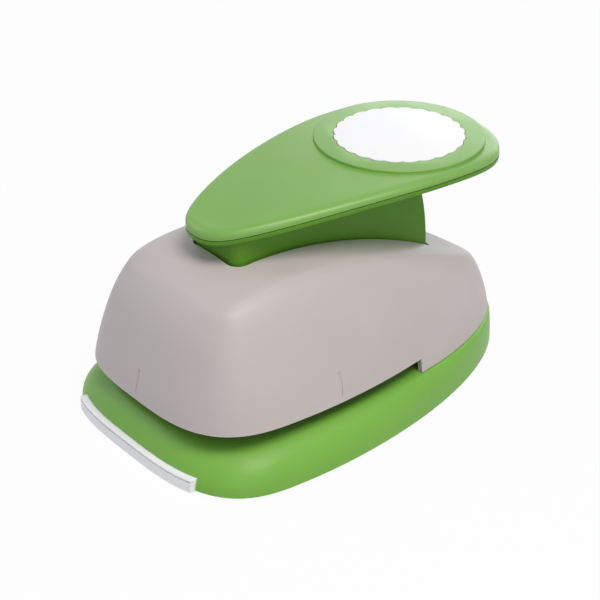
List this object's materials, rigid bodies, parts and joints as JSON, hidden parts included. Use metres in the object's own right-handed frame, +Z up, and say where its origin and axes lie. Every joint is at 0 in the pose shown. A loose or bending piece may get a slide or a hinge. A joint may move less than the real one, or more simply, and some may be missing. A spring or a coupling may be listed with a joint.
{
  "type": "paper punch",
  "caption": "Lever-operated desk punch that cuts a scalloped circle out of card, with a press pad and a pull-out drawer for the cut pieces.",
  "frame": {"origin": "centre of the overall length and width, on the surface the feet stand on", "axes": "+Z up, -Y towards the end where the card goes in and the drawer pulls out, the pad towards +Y, sides mirrored across X = 0"},
  "size_m": [0.1136, 0.174, 0.095],
  "materials": {
    "base_green": "satin moulded plastic",
    "cover_grey": "satin moulded plastic",
    "lever_green": "satin moulded plastic",
    "skirt_green": "satin moulded plastic",
    "label_white": "plain white plastic",
    "tray_white": "satin moulded plastic",
    "frame_black": "glass-filled moulded plastic",
    "plate_steel": "ground steel",
    "punch_steel": "hardened tool steel",
    "pin_steel": "bright drawn steel",
    "screw_steel": "zinc plated steel",
    "rubber_grey": "soft rubber"
  },
  "bodies": {
    "housing": {"base_shell": "base_green", "cover_shell": "cover_grey", "guide_frame": "frame_black", "die_plate": "plate_steel", "guide_plate": "plate_steel", "throat_spacer": "plate_steel", "guide_post_left": "pin_steel", "guide_post_right": "pin_steel", "return_spring_left": "pin_steel", "return_spring_right": "pin_steel", "pivot_pin": "pin_steel", "pivot_clip": "pin_steel", "throat_screw_left": "screw_steel", "throat_screw_right": "screw_steel", "frame_screw_left": "screw_steel", "frame_screw_right": "screw_steel", "cover_screw_left": "screw_steel", "cover_screw_right": "screw_steel", "cover_screw_rear": "screw_steel", "foot_front_left": "rubber_grey", "foot_front_right": "rubber_grey", "foot_rear_left": "rubber_grey", "foot_rear_right": "rubber_grey"},
    "lever": {"lever_body": "skirt_green", "lever_top": "lever_green", "shape_label": "label_white", "press_roller": "pin_steel", "roller_pin": "pin_steel", "lever_screw_front": "screw_steel", "lever_screw_rear": "screw_steel"},
    "punch": {"punch_head": "punch_steel", "punch_carrier": "frame_black", "punch_screw_left": "screw_steel", "punch_screw_right": "screw_steel"},
    "tray": {"bottom_tray": "tray_white"}
  },
  "joints": [
    {"name": "lever_hinge", "type": "hinge", "parent": "housing", "child": "lever", "pos_m": [0, -0.04725, 0.053], "axis": [-1, 0, 0], "range_deg": [0, 14.49], "stiffness_Nm_per_rad": 2, "springref_deg": -11.46},
    {"name": "punch_slide", "type": "slide", "parent": "housing", "child": "punch", "axis": [0, 0, -1], "range_m": [0, 0.0058], "deforming": ["return_spring_left", "return_spring_right"]},
    {"name": "tray_slide", "type": "slide", "parent": "housing", "child": "tray", "axis": [0, -1, 0], "range_m": [0, 0.075]}
  ],
  "couplings": [
    {"joint": "punch_slide", "follows": "lever_hinge", "m_per_rad": 0.0229}
  ]
}
